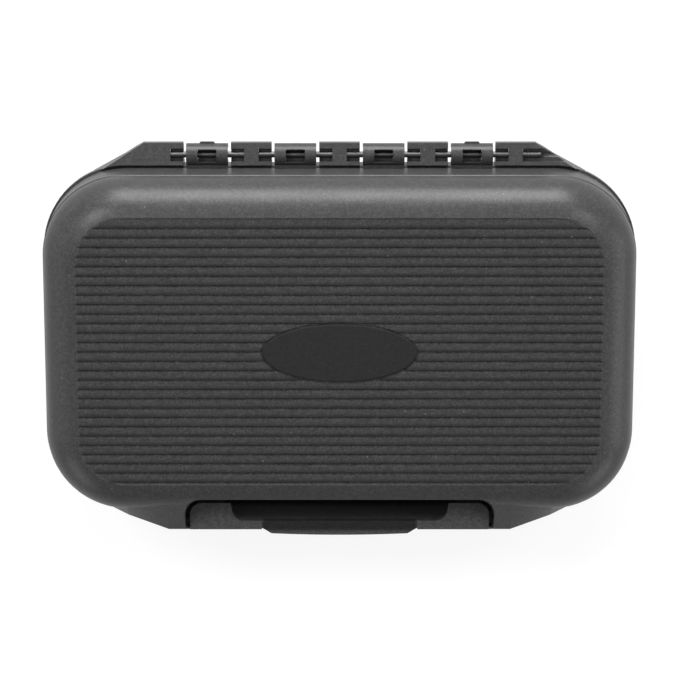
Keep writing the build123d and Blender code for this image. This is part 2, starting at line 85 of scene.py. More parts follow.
@dataclass
class Wiring:
    """Adds and joins nodes in one node tree."""

    tree: bpy.types.NodeTree

    def add(self, kind: str, **values: object) -> bpy.types.Node:
        """Adds a node and sets its plain properties.

        Args:
            kind: the node's type name.
            values: the properties to set.

        Returns:
            The new node.
        """
        node = self.tree.nodes.new(kind)
        for key, value in values.items():
            setattr(node, key, value)
        return node

    def join(self, start: bpy.types.NodeSocket, end: bpy.types.NodeSocket) -> None:
        """Links one socket to another."""
        self.tree.links.new(start, end)

    def feed(self, value: object, end: bpy.types.NodeSocket) -> None:
        """Links a socket to an input, or sets the input to a number.

        Args:
            value: a socket or a number.
            end: the input's socket.
        """
        if isinstance(value, bpy.types.NodeSocket):
            self.join(value, end)
        else:
            end.default_value = float(value)

    def math(self, kind: str, a: object, b: object = 0.0, clamp: bool = False) -> bpy.types.NodeSocket:
        """Adds a math node.

        Args:
            kind: the operation.
            a: a socket or a number for the first input.
            b: a socket or a number for the second input.
            clamp: whether the result stays between 0 and 1.

        Returns:
            The result's socket.
        """
        node = self.add("ShaderNodeMath", operation=kind, use_clamp=clamp)
        self.feed(a, node.inputs[0])
        self.feed(b, node.inputs[1])
        return node.outputs[0]

    def spread(self, value: bpy.types.NodeSocket, gain: float, base: float) -> bpy.types.NodeSocket:
        """Multiplies a value and lifts it from a base.

        Args:
            value: the socket to read.
            gain: what it is multiplied by.
            base: what is added to it.

        Returns:
            The result's socket.
        """
        return self.math("ADD", self.math("MULTIPLY", value, gain), base)

    def ramp(self, value: bpy.types.NodeSocket, low: float, high: float) -> bpy.types.NodeSocket:
        """Spreads the stretch from low to high smoothly over 0 to 1.

        Args:
            value: the socket to read.
            low: the value that becomes 0.
            high: the value that becomes 1.

        Returns:
            The result's socket.
        """
        node = self.add("ShaderNodeMapRange", interpolation_type="SMOOTHSTEP")
        self.join(value, node.inputs["Value"])
        node.inputs["From Min"].default_value = low
        node.inputs["From Max"].default_value = high
        return node.outputs["Result"]

    def noise(
        self,
        vector: bpy.types.NodeSocket,
        scale: object,
        detail: float,
        roughness: float = 0.6,
    ) -> bpy.types.NodeSocket:
        """Adds a noise texture.

        Args:
            vector: the coordinates' socket.
            scale: a socket or a number.
            detail: the number of finer layers.
            roughness: how strong the finer layers are.

        Returns:
            The noise value's socket.
        """
        node = self.add("ShaderNodeTexNoise")
        self.join(vector, node.inputs["Vector"])
        self.feed(scale, node.inputs["Scale"])
        node.inputs["Detail"].default_value = detail
        node.inputs["Roughness"].default_value = roughness
        return node.outputs["Fac"]

    def bump(
        self,
        shader: bpy.types.Node,
        height: bpy.types.NodeSocket,
        depth: float,
        strength: float = 1.0,
    ) -> None:
        """Raises a material's surface by a height.

        Args:
            shader: the material's shader.
            height: the height's socket.
            depth: how far a height of 1 rises.
            strength: how strongly it shows.
        """
        node = self.add("ShaderNodeBump")
        node.inputs["Distance"].default_value = depth
        node.inputs["Strength"].default_value = strength
        self.join(height, node.inputs["Height"])
        self.join(node.outputs["Normal"], shader.inputs["Normal"])

    def object_space(self) -> bpy.types.NodeSocket:
        """Returns the object coordinates' socket."""
        return self.add("ShaderNodeTexCoord").outputs["Object"]

    def axes(self, vector: bpy.types.NodeSocket) -> bpy.types.Node:
        """Splits a vector into its axes.

        Args:
            vector: the vector's socket.

        Returns:
            The node with the outputs X, Y and Z.
        """
        node = self.add("ShaderNodeSeparateXYZ")
        self.join(vector, node.inputs[0])
        return node


@dataclass
class Effect:
    """A shader node group with named sockets, open for wiring."""

    name: str
    inputs: dict[str, float]
    outputs: tuple[str, ...]
    tree: bpy.types.NodeTree = field(init=False)
    wire: Wiring = field(init=False)
    start: bpy.types.Node = field(init=False)
    stop: bpy.types.Node = field(init=False)

    def __post_init__(self) -> None:
        """Makes the group, its sockets and its end nodes."""
        self.tree = bpy.data.node_groups.new(self.name, "ShaderNodeTree")
        sockets = self.tree.interface
        for label, value in self.inputs.items():
            socket = sockets.new_socket(label, in_out="INPUT", socket_type="NodeSocketFloat")
            socket.default_value = value
        for label in self.outputs:
            sockets.new_socket(label, in_out="OUTPUT", socket_type="NodeSocketFloat")
        self.wire = Wiring(self.tree)
        self.start = self.wire.add("NodeGroupInput")
        self.stop = self.wire.add("NodeGroupOutput")

    def given(self, label: str) -> bpy.types.NodeSocket:
        """Returns the socket of one of the group's inputs."""
        return self.start.outputs[label]

    def put(self, value: bpy.types.NodeSocket, label: str) -> None:
        """Sends a value out of the group."""
        self.wire.join(value, self.stop.inputs[label])


@dataclass(frozen=True)
class MouldGrain:
    """The fine spark texture of moulded plastic."""

    scale: float = 2200.0
    sharpness: float = 1.0
    coarse_ratio: float = 0.37
    fine_detail: float = 3.0
    coarse_detail: float = 2.0
    fine_share: float = 0.7
    coarse_share: float = 0.3
    mottle_span: tuple[float, float] = (0.32, 0.68)

    def group(self) -> bpy.types.NodeTree:
        """Builds the effect.

        Returns:
            A group that puts out a height and a light-and-dark mask.
        """
        inputs = {"Scale": self.scale, "Sharpness": self.sharpness}
        effect = Effect("mould_grain", inputs, ("Height", "Mottle"))
        wire = effect.wire
        space = wire.object_space()
        fine = wire.noise(space, effect.given("Scale"), self.fine_detail)
        coarse_scale = wire.math("MULTIPLY", effect.given("Scale"), self.coarse_ratio)
        coarse = wire.noise(space, coarse_scale, self.coarse_detail)
        shaped = wire.math("POWER", fine, effect.given("Sharpness"))
        fine_part = wire.math("MULTIPLY", shaped, self.fine_share)
        height = wire.math("ADD", fine_part, wire.math("MULTIPLY", coarse, self.coarse_share))
        effect.put(height, "Height")
        effect.put(wire.ramp(height, *self.mottle_span), "Mottle")
        return effect.tree


@dataclass(frozen=True)
class DustSpecks:
    """Sparse pale specks, as dust and nicks leave on dark plastic."""

    scale: float = 420.0
    amount: float = 0.5
    dot_size: float = 0.1
    rarity: float = 0.9

    def group(self) -> bpy.types.NodeTree:
        """Builds the effect.

        Returns:
            A group that puts out a mask.
        """
        effect = Effect("dust_specks", {"Scale": self.scale, "Amount": self.amount}, ("Mask",))
        wire = effect.wire
        cells = wire.add("ShaderNodeTexVoronoi", feature="F1")
        wire.join(wire.object_space(), cells.inputs["Vector"])
        wire.join(effect.given("Scale"), cells.inputs["Scale"])
        dots = wire.math("LESS_THAN", cells.outputs["Distance"], self.dot_size)
        pick = wire.add("ShaderNodeSeparateColor")
        wire.join(cells.outputs["Color"], pick.inputs[0])
        rare = wire.math("GREATER_THAN", pick.outputs[0], self.rarity)
        chosen = wire.math("MULTIPLY", dots, rare)
        effect.put(wire.math("MULTIPLY", chosen, effect.given("Amount")), "Mask")
        return effect.tree


@dataclass(frozen=True)
class HandlingWear:
    """Slow changes in sheen where hands have polished a surface."""

    scale: float = 45.0
    detail: float = 2.0
    span: tuple[float, float] = (0.3, 0.7)

    def group(self) -> bpy.types.NodeTree:
        """Builds the effect.

        Returns:
            A group that puts out a mask.
        """
        effect = Effect("handling_wear", {"Scale": self.scale}, ("Mask",))
        wire = effect.wire
        cloud = wire.noise(wire.object_space(), effect.given("Scale"), self.detail)
        effect.put(wire.ramp(cloud, *self.span), "Mask")
        return effect.tree


@dataclass(frozen=True)
class LidPanel:
    """Marks the lid's stepped panel, its bare oval and the painted shade in the steps between its rows."""

    gasket_inset: float = 6.1 * MM
    rows_margin: float = 0.2 * MM
    row_pitch: float = 2.4 * MM
    corner_r: float = 11.6 * MM
    depth: float = 0.9 * MM
    oval_half: tuple[float, float] = (19.2 * MM, 7.4 * MM)
    softness: float = 0.3 * MM
    unevenness: float = 0.2
    cloud_scale: float = 1100.0
    cloud_detail: float = 3.0
    before_step: tuple[float, float] = (0.6, 0.94)
    after_step: tuple[float, float] = (0.03, 0.2)

    def middle(self) -> tuple[float, float]:
        """Returns the middle of the case, which the gasket runs round."""
        low, high = node_box("gasket")
        return (low[0] + high[0]) / 2, (low[1] + high[1]) / 2

    def half_size(self) -> tuple[float, float]:
        """Returns half the panel's length and width, set in from the gasket."""
        low, high = node_box("gasket")
        return (high[0] - low[0]) / 2 - self.gasket_inset, (high[1] - low[1]) / 2 - self.gasket_inset

    def floor(self) -> float:
        """Returns the height that the panel's rows stay above."""
        return node_box("lid_shell")[1][2] - self.depth

    def first_step(self) -> float:
        """Returns how far behind the middle the first row starts."""
        return self.half_size()[1] + self.rows_margin

    def group(self) -> bpy.types.NodeTree:
        """Builds the effect.

        Returns:
            A group that puts out a mask for the panel, one for the oval and one for the
            painted shade that lies in the steps between the rows.
        """
        inputs = {"Softness": self.softness, "Unevenness": self.unevenness}
        effect = Effect("panel_masks", inputs, ("Panel", "Oval", "StepShade"))
        wire = effect.wire
        moved = wire.add("ShaderNodeVectorMath", operation="SUBTRACT")
        wire.join(wire.object_space(), moved.inputs[0])
        moved.inputs[1].default_value = (*self.middle(), self.floor())
        spot = wire.axes(moved.outputs[0])
        above = wire.math("GREATER_THAN", spot.outputs["Z"], 0.0)
        edge = wire.math("DIVIDE", self.inside(wire, spot), effect.given("Softness"), clamp=True)
        effect.put(wire.math("MULTIPLY", edge, above), "Panel")
        effect.put(wire.math("MULTIPLY", self.oval(wire, spot), above), "Oval")
        effect.put(self.step_shade(wire, spot, effect.given("Unevenness")), "StepShade")
        return effect.tree

    def inside(self, wire: Wiring, spot: bpy.types.Node) -> bpy.types.NodeSocket:
        """How far inside the panel's rounded outline a spot lies.

        Args:
            wire: the group's wiring.
            spot: the spot's axes from the panel's middle.

        Returns:
            The distance's socket.
        """
        squares = []
        for axis, half in zip("XY", self.half_size()):
            aside = wire.math("ABSOLUTE", spot.outputs[axis])
            past = wire.math("MAXIMUM", wire.math("SUBTRACT", aside, half - self.corner_r), 0.0)
            squares.append(wire.math("POWER", past, 2.0))
        reach = wire.math("SQRT", wire.math("ADD", *squares))
        return wire.math("SUBTRACT", self.corner_r, reach)

    def oval(self, wire: Wiring, spot: bpy.types.Node) -> bpy.types.NodeSocket:
        """Whether a spot lies in the oval.

        Args:
            wire: the group's wiring.
            spot: the spot's axes from the panel's middle.

        Returns:
            The mask's socket.
        """
        shares = []
        for axis, half in zip("XY", self.oval_half):
            shares.append(wire.math("POWER", wire.math("DIVIDE", spot.outputs[axis], half), 2.0))
        return wire.math("LESS_THAN", wire.math("ADD", *shares), 1.0)

    def step_shade(self, wire: Wiring, spot: bpy.types.Node, sway: bpy.types.NodeSocket) -> bpy.types.NodeSocket:
        """How near a spot lies to a step between two rows, where the panel gets painted shade.

        Args:
            wire: the group's wiring.
            spot: the spot's axes from the panel's middle.
            sway: how far the painted shade's edge sways, as a share of a row.

        Returns:
            The mask's socket.
        """
        cloud = wire.noise(wire.object_space(), self.cloud_scale, self.cloud_detail)
        shift = wire.math("MULTIPLY", wire.math("SUBTRACT", cloud, 0.5), sway)
        behind = wire.math("SUBTRACT", self.first_step(), spot.outputs["Y"])
        rows = wire.math("DIVIDE", behind, self.row_pitch)
        turn = wire.math("FRACT", wire.math("ADD", rows, shift))
        before = wire.ramp(turn, *self.before_step)
        after = wire.math("SUBTRACT", 1.0, wire.ramp(turn, *self.after_step))
        return wire.math("MAXIMUM", before, after)


@dataclass(frozen=True)
class GripSlopeShade:
    """Marks the slope of the latch's grip, where painted shade darkens it."""

    amount: float = 1.0
    half_width: float = 19.9 * MM
    side_run: float = 0.8 * MM
    lip: float = 0.3 * MM
    run: float = 1.6 * MM
    fall: float = 1.8 * MM

    def reach(self) -> tuple[float, float]:
        """Returns where the painted shade starts behind the lip and where it is full."""
        front = node_box("latch")[0][1] + self.lip
        return front, front + self.run

    def floor(self) -> float:
        """Returns the height that the slope stays above."""
        return node_box("latch")[1][2] - self.fall

    def group(self) -> bpy.types.NodeTree:
        """Builds the effect.

        Returns:
            A group that puts out a mask.
        """
        effect = Effect("grip_slope_shade", {"Amount": self.amount}, ("Mask",))
        wire = effect.wire
        spot = wire.axes(wire.object_space())
        aside = wire.math("ABSOLUTE", spot.outputs["X"])
        far = wire.ramp(aside, self.half_width - self.side_run, self.half_width)
        near = wire.math("SUBTRACT", 1.0, far)
        slope = wire.ramp(spot.outputs["Y"], *self.reach())
        above = wire.math("GREATER_THAN", spot.outputs["Z"], self.floor())
        mask = wire.math("MULTIPLY", wire.math("MULTIPLY", near, slope), above)
        effect.put(wire.math("MULTIPLY", mask, effect.given("Amount")), "Mask")
        return effect.tree


@dataclass
class Effects:
    """The shader node groups that the finishes share."""

    grain: bpy.types.NodeTree = field(default_factory=MouldGrain().group)
    specks: bpy.types.NodeTree = field(default_factory=DustSpecks().group)
    wear: bpy.types.NodeTree = field(default_factory=HandlingWear().group)
    panel: bpy.types.NodeTree = field(default_factory=LidPanel().group)
    grip: bpy.types.NodeTree = field(default_factory=GripSlopeShade().group)


def place_group(wire: Wiring, group: bpy.types.NodeTree, **values: float) -> bpy.types.Node:
    """Places a shared group in a material.

    Args:
        wire: the material's wiring.
        group: the group to place.
        values: its inputs' numbers, by name.

    Returns:
        The group node.
    """
    node = wire.add("ShaderNodeGroup", node_tree=group)
    for key, value in values.items():
        node.inputs[key].default_value = value
    return node


def blank_material(name: str) -> tuple[bpy.types.Material, Wiring, bpy.types.Node]:
    """Makes a material with only a Principled shader.

    Args:
        name: the material's name.

    Returns:
        The material, its wiring and its shader node.
    """
    material = bpy.data.materials.new(name)
    material.use_nodes = True
    wire = Wiring(material.node_tree)
    shader = next(n for n in material.node_tree.nodes if n.type == "BSDF_PRINCIPLED")
    return material, wire, shader


def mix_colours(
    wire: Wiring,
    mask: bpy.types.NodeSocket,
    low: object,
    high: object,
) -> bpy.types.NodeSocket:
    """Mixes two colours by a mask.

    Args:
        wire: the material's wiring.
        mask: the mask's socket.
        low: the colour or socket where the mask is 0.
        high: the colour or socket where the mask is 1.

    Returns:
        The mixed colour's socket.
    """
    factor, first, second, result = 0, 6, 7, 2
    node = wire.add("ShaderNodeMix", data_type="RGBA")
    wire.join(mask, node.inputs[factor])
    for index, colour in ((first, low), (second, high)):
        if isinstance(colour, bpy.types.NodeSocket):
            wire.join(colour, node.inputs[index])
        else:
            node.inputs[index].default_value = (*colour, 1.0)
    return node.outputs[result]


def cool_grey(shade: float, tint: float) -> tuple[float, float, float]:
    """Returns a grey whose blue is stronger by a factor."""
    return (shade, shade, shade * tint)


def grained_tone(wire: Wiring, grain: bpy.types.Node, shade: float, mottle: float) -> bpy.types.NodeSocket:
    """A dark grey that the grain lightens and darkens.

    Args:
        wire: the material's wiring.
        grain: the grain group in the material.
        shade: the grey's level.
        mottle: how far the grain moves it, as a share.

    Returns:
        The colour's socket.
    """
    low = cool_grey(shade * (1 - mottle), tint=1.01)
    high = cool_grey(shade * (1 + mottle), tint=1.02)
    return mix_colours(wire, grain.outputs["Mottle"], low, high)


# ------------------------------------------------------------------- finishes


@dataclass(frozen=True)
class MouldedPlastic:
    """Dark moulded plastic with a fine matt grain."""

    name: str
    shade: float
    roughness: float
    gloss: float
    mottle: float = 0.3
    grain_scale: float = 2200.0
    grain_sharpness: float = 1.2
    grain_depth: float = 0.03 * MM
    grain_strength: float = 0.8
    speck_scale: float = 420.0
    speck_amount: float = 0.5
    speck_colour: tuple[float, float, float] = (0.14, 0.14, 0.145)
    wear_scale: float = 38.0
    wear_spread: float = 0.06

    def make(self, effects: Effects) -> bpy.types.Material:
        """Builds the material.

        Args:
            effects: the shared node groups.

        Returns:
            The material.
        """
        material, wire, shader = blank_material(self.name)
        grain = place_group(wire, effects.grain, Scale=self.grain_scale, Sharpness=self.grain_sharpness)
        dust = place_group(wire, effects.specks, Scale=self.speck_scale, Amount=self.speck_amount)
        wear = place_group(wire, effects.wear, Scale=self.wear_scale)
        rough = wire.spread(wear.outputs["Mask"], self.wear_spread, self.roughness - self.wear_spread / 2)
        tone, rough = self.zoned(wire, effects, grain, rough)
        dusted = mix_colours(wire, dust.outputs["Mask"], tone, self.speck_colour)
        wire.join(dusted, shader.inputs["Base Color"])
        wire.join(rough, shader.inputs["Roughness"])
        shader.inputs["Specular IOR Level"].default_value = self.gloss
        wire.bump(shader, grain.outputs["Height"], self.grain_depth, self.grain_strength)
        return material

    def zoned(
        self,
        wire: Wiring,
        effects: Effects,
        grain: bpy.types.Node,
        rough: bpy.types.NodeSocket,
    ) -> tuple[bpy.types.NodeSocket, bpy.types.NodeSocket]:
        """The colour and the roughness all over, with any zones of the piece's own.

        Args:
            wire: the material's wiring.
            effects: the shared node groups; not used here.
            grain: the grain group in the material.
            rough: the roughness outside the zones.

        Returns:
            The colour's socket and the roughness's socket.
        """
        return grained_tone(wire, grain, self.shade, self.mottle), rough


@dataclass(frozen=True)
class CasePlastic(MouldedPlastic):
    """The shells' plastic, darker and more matt on the stepped panel, with painted shade in the steps
    between its rows, and bare on the oval.
    """

    panel_shade: float = 0.037
    panel_mottle: float = 0.45
    panel_matt: float = 0.4
    # painted shade: a darker tone in the steps between the panel's rows, standing in for their shadow
    step_shade_level: float = 0.014
    step_shade_share: float = 0.8
    step_shade_sway: float = 0.3
    oval_shade: float = 0.014
    oval_mottle: float = 0.25

    def zoned(
        self,
        wire: Wiring,
        effects: Effects,
        grain: bpy.types.Node,
        rough: bpy.types.NodeSocket,
    ) -> tuple[bpy.types.NodeSocket, bpy.types.NodeSocket]:
        """The colour and the roughness all over, with the panel, the painted shade in its steps and the
        oval.

        Args:
            wire: the material's wiring.
            effects: the shared node groups.
            grain: the grain group in the material.
            rough: the roughness outside the panel.

        Returns:
            The colour's socket and the roughness's socket.
        """
        plain, rough = super().zoned(wire, effects, grain, rough)
        zones = place_group(wire, effects.panel, Unevenness=self.step_shade_sway)
        rows = grained_tone(wire, grain, self.panel_shade, self.panel_mottle)
        # painted shade in the steps between the rows
        steps = grained_tone(wire, grain, self.step_shade_level, self.panel_mottle)
        step_shade = wire.math("MULTIPLY", zones.outputs["StepShade"], self.step_shade_share)
        panel = mix_colours(wire, step_shade, rows, steps)
        oval = grained_tone(wire, grain, self.oval_shade, self.oval_mottle)
        tone = mix_colours(wire, zones.outputs["Panel"], plain, panel)
        matt = wire.math("MULTIPLY", zones.outputs["Panel"], self.panel_matt)
        return mix_colours(wire, zones.outputs["Oval"], tone, oval), wire.math("ADD", rough, matt)


@dataclass(frozen=True)
class LatchPlastic(MouldedPlastic):
    """The latch's plastic, with painted shade on the slope of the grip."""

    # painted shade: a darker tone on the grip's slope, which faces away from the light
    grip_painted_shade: float = 0.018
    grip_amount: float = 0.9

    def zoned(
        self,
        wire: Wiring,
        effects: Effects,
        grain: bpy.types.Node,
        rough: bpy.types.NodeSocket,
    ) -> tuple[bpy.types.NodeSocket, bpy.types.NodeSocket]:
        """The colour and the roughness all over, with painted shade on the slope of the grip.

        Args:
            wire: the material's wiring.
            effects: the shared node groups.
            grain: the grain group in the material.
            rough: the roughness.

        Returns:
            The colour's socket and the roughness's socket.
        """
        plain, rough = super().zoned(wire, effects, grain, rough)
        # painted shade on the grip's slope
        slope_shade = place_group(wire, effects.grip, Amount=self.grip_amount)
        shaded_tone = grained_tone(wire, grain, self.grip_painted_shade, self.mottle)
        return mix_colours(wire, slope_shade.outputs["Mask"], plain, shaded_tone), rough


@dataclass(frozen=True)
class DrawnSteel:
    """Stainless wire with fine marks along its length."""

    name: str = "drawn_steel"
    shade: float = 0.11
    dull_share: float = 0.72
    roughness: float = 0.4
    wear_scale: float = 120.0
    wear_spread: float = 0.12
    mark_stretch: float = 0.04
    mark_scale: float = 6000.0
    mark_detail: float = 3.0
    mark_span: tuple[float, float] = (0.3, 0.7)
    mark_depth: float = 0.01 * MM
    mark_strength: float = 0.6

    def make(self, effects: Effects) -> bpy.types.Material:
        """Builds the material.

        Args:
            effects: the shared node groups.

        Returns:
            The material.
        """
        material, wire, shader = blank_material(self.name)
        shader.inputs["Metallic"].default_value = 1.0
        along = wire.add("ShaderNodeMapping")
        along.inputs["Scale"].default_value = (self.mark_stretch, 1.0, 1.0)
        wire.join(wire.object_space(), along.inputs["Vector"])
        marks = wire.noise(along.outputs["Vector"], self.mark_scale, self.mark_detail)
        dull = cool_grey(self.shade * self.dull_share, tint=1.0)
        bright = cool_grey(self.shade, tint=1.02)
        tone = mix_colours(wire, wire.ramp(marks, *self.mark_span), dull, bright)
        wire.join(tone, shader.inputs["Base Color"])
        wear = place_group(wire, effects.wear, Scale=self.wear_scale)
        rough = wire.spread(wear.outputs["Mask"], self.wear_spread, self.roughness)
        wire.join(rough, shader.inputs["Roughness"])
        wire.bump(shader, marks, self.mark_depth, self.mark_strength)
        return material


@dataclass(frozen=True)
class SealRubber:
    """Soft black sealing rubber with a dusty bloom."""

    name: str = "seal_rubber"
    shade: float = 0.018
    bloom_scale: float = 160.0
    bloom_rise: float = 2.2
    roughness: float = 0.5
    grain_scale: float = 3200.0
    grain_sharpness: float = 1.0
    grain_spread: float = 0.1
    grain_depth: float = 0.01 * MM

    def make(self, effects: Effects) -> bpy.types.Material:
        """Builds the material.

        Args:
            effects: the shared node groups.

        Returns:
            The material.
        """
        material, wire, shader = blank_material(self.name)
        bloom = place_group(wire, effects.wear, Scale=self.bloom_scale)
        grain = place_group(wire, effects.grain, Scale=self.grain_scale, Sharpness=self.grain_sharpness)
        clean = cool_grey(self.shade, tint=1.0)
        dusty = cool_grey(self.shade * self.bloom_rise, tint=1.0)
        wire.join(mix_colours(wire, bloom.outputs["Mask"], clean, dusty), shader.inputs["Base Color"])
        rough = wire.spread(grain.outputs["Mottle"], self.grain_spread, self.roughness)
        wire.join(rough, shader.inputs["Roughness"])
        wire.bump(shader, grain.outputs["Height"], self.grain_depth)
        return material


@dataclass(frozen=True)
class CellFoam:
    """Closed-cell foam with fine open pores on its cut faces, painted shade in the pores and patches of
    soil.
    """

    name: str = "cell_foam"
    colour: tuple[float, float, float] = (0.5, 0.51, 0.5)
    pore_shade_and_soil_share: float = 0.72
    soil_scale: float = 70.0
    soil_share: float = 0.25
    sheen: float = 0.2
    roughness: float = 0.84
    pore_spread: float = 0.08
    pore_scale: float = 1300.0
    pore_span: tuple[float, float] = (0.1, 0.6)
    pore_depth: float = 0.12 * MM
    pore_strength: float = 0.7

    def make(self, effects: Effects) -> bpy.types.Material:
        """Builds the material.

        Args:
            effects: the shared node groups.

        Returns:
            The material.
        """
        material, wire, shader = blank_material(self.name)
        cells = wire.add("ShaderNodeTexVoronoi", feature="SMOOTH_F1")
        wire.join(wire.object_space(), cells.inputs["Vector"])
        cells.inputs["Scale"].default_value = self.pore_scale
        pores = wire.ramp(cells.outputs["Distance"], *self.pore_span)
        # painted shade: the pores' hollows take the darker colour; the soil patches below mix to it as real
        # dirt
        pore_shade_and_soil = tuple(part * self.pore_shade_and_soil_share for part in self.colour)
        face = mix_colours(wire, pores, pore_shade_and_soil, self.colour)
        soil = place_group(wire, effects.wear, Scale=self.soil_scale)
        soft = wire.math("MULTIPLY", soil.outputs["Mask"], self.soil_share)
        wire.join(mix_colours(wire, soft, face, pore_shade_and_soil), shader.inputs["Base Color"])
        rough = wire.spread(pores, self.pore_spread, self.roughness)
        wire.join(rough, shader.inputs["Roughness"])
        shader.inputs["Sheen Weight"].default_value = self.sheen
        wire.bump(shader, pores, self.pore_depth, self.pore_strength)
        return material


# --------------------------------------------------------------- sub-assemblies


def dress(node: str, material: bpy.types.Material) -> None:
    """Gives a CAD node its finish.

    Args:
        node: the node's name.
        material: the finish.
    """
    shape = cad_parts[node]
    if not shape.material_slots:
        shape.data.materials.append(material)
    for place in shape.material_slots:
        place.material = material
    LOG.info("dressed %s in %s", node, material.name)


def new_piece(
    name: str,
    shape: bmesh.types.BMesh,
    material: bpy.types.Material,
    crease: float | None = None,
) -> bpy.types.Object:
    """Makes an object from a finished shape and gives it its finish.

    Args:
        name: the piece's name.
        shape: its shape, which is freed.
        material: its finish.
        crease: the angle from which its edges are sharp, if any are.

    Returns:
        The new object.
    """
    mesh = bpy.data.meshes.new(f"{name}_mesh")
    shape.to_mesh(mesh)
    shape.free()
    mesh.shade_smooth()
    if crease is not None:
        mesh.set_sharp_from_angle(angle=crease)
    mesh.materials.append(material)
    piece = bpy.data.objects.new(name, mesh)
    bpy.context.scene.collection.objects.link(piece)
    LOG.info("built %s, %d faces", name, len(mesh.polygons))
    return piece


@dataclass
class CaseShells:
    """The two moulded halves of the case."""

    finish: bpy.types.Material

    def build(self) -> None:
        """Dresses both halves."""
        for node in ("base_shell", "lid_shell"):
            dress(node, self.finish)


@dataclass
class Pins:
    """The two steel rods that the lid and the latch turn on."""

    finish: bpy.types.Material

    def build(self) -> None:
        """Dresses both rods."""
        for node in ("hinge_pin", "latch_pin"):
            dress(node, self.finish)


@dataclass
class FrontLatch:
    """The latch plate across the front."""

    finish: bpy.types.Material

    def build(self) -> None:
        """Dresses the latch."""
        dress("latch", self.finish)


@dataclass(frozen=True)
class Recess:
    """The latch recess in the lid's front bulge, measured from the CAD nodes round it."""

    side_gap: float = 0.25 * MM
    wall_gap: float = 0.88 * MM
    straight: float = 10.1 * MM
    lean: float = 0.308
    bulge_rise: float = 9.3 * MM
    bulge_slope: float = math.radians(42.0)
    dome_r: float = 11.0 * MM
    dome_rise: float = 10.3 * MM
    dome_inset: float = 8.2 * MM
    lid_lift: float = 0.1 * MM

    def half(self) -> float:
        """Returns half the recess's length."""
        return node_box("latch")[1][0] + self.side_gap

    def front(self) -> float:
        """Returns where the front of the bulge lies."""
        return node_box("base_shell")[0][1]

    def lid_foot(self) -> float:
        """Returns the height of the lid's open face."""
        return node_box("gasket")[1][2] + self.lid_lift

    def wall(self, height: float) -> float:
        """Where the back wall lies at a height above the lid's open face.

        Args:
            height: the height above the open face.

        Returns:
            The wall's place along Y.
        """
        return node_box("latch")[1][1] + self.wall_gap + self.lean * max(0.0, height - self.straight)

    def skin(self, y: float) -> float:
        """The height of the lid's outside over the open face, ahead of its flat top.

        Args:
            y: the place along Y.

        Returns:
            The height above the open face.
        """
        slope = self.bulge_rise + math.tan(self.bulge_slope) * (y - self.front())
        across = node_box("gasket")[0][1] + self.dome_inset - y
        if abs(across) >= self.dome_r:
            return slope
        dome = self.dome_rise + math.sqrt(self.dome_r**2 - across**2)
        return min(slope, dome)


@dataclass
class RecessCorners:
    """The rounded inner corners of the latch recess."""

    finish: bpy.types.Material
    recess: Recess = field(default_factory=Recess)
    radius: float = 4.0 * MM
    seat: float = 0.05 * MM
    sink: float = 0.012 * MM
    steps: int = 10
    rounds: int = 30
    crease: float = math.radians(30)

    def build(self) -> None:
        """Builds both corners."""
        for side, label in ((-1.0, "left"), (1.0, "right")):
            self.corner(side, label)

    def plan(self) -> list[tuple[float, float]]:
        """The corner in plan, as distances from the side wall and from the back wall.

        Returns:
            The outline's points.
        """
        points = [(self.radius, -self.seat)]
        for step in range(self.steps + 1):
            angle = math.pi / 2 * step / self.steps
            points.append((self.radius * (1 - math.sin(angle)), self.radius * (1 - math.cos(angle))))
        return [*points, (-self.seat, self.radius), (-self.seat, -self.seat)]

    def top(self, back: float) -> float:
        """Where a line beside the back wall comes out through the lid's skin.

        Args:
            back: the line's distance from the back wall.

        Returns:
            The height above the lid's open face.
        """
        height = self.recess.straight
        for _ in range(self.rounds):
            height = self.recess.skin(self.recess.wall(height) - back)
        return height - self.sink

    def corner(self, side: float, label: str) -> None:
        """Builds one corner.

        Args:
            side: -1 on the left, 1 on the right.
            label: the side's name.
        """
        shape = bmesh.new()
        foot = self.recess.lid_foot()
        columns = []
        for aside, back in self.plan():
            heights = (self.sink, min(self.recess.straight, self.top(back) - self.sink), self.top(back))
            x = side * (self.recess.half() - aside)
            columns.append([shape.verts.new((x, self.recess.wall(z) - back, foot + z)) for z in heights])
        for first, second in zip(columns, [*columns[1:], columns[0]]):
            for low, high in ((0, 1), (1, 2)):
                shape.faces.new((first[low], second[low], second[high], first[high]))
        shape.faces.new([column[0] for column in columns])
        shape.faces.new([column[-1] for column in columns])
        bmesh.ops.recalc_face_normals(shape, faces=shape.faces)
        bmesh.ops.triangulate(shape, faces=[face for face in shape.faces if len(face.verts) > 4])
        piece = new_piece(f"recess_corner_{label}", shape, self.finish, self.crease)
        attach(piece, "lid")


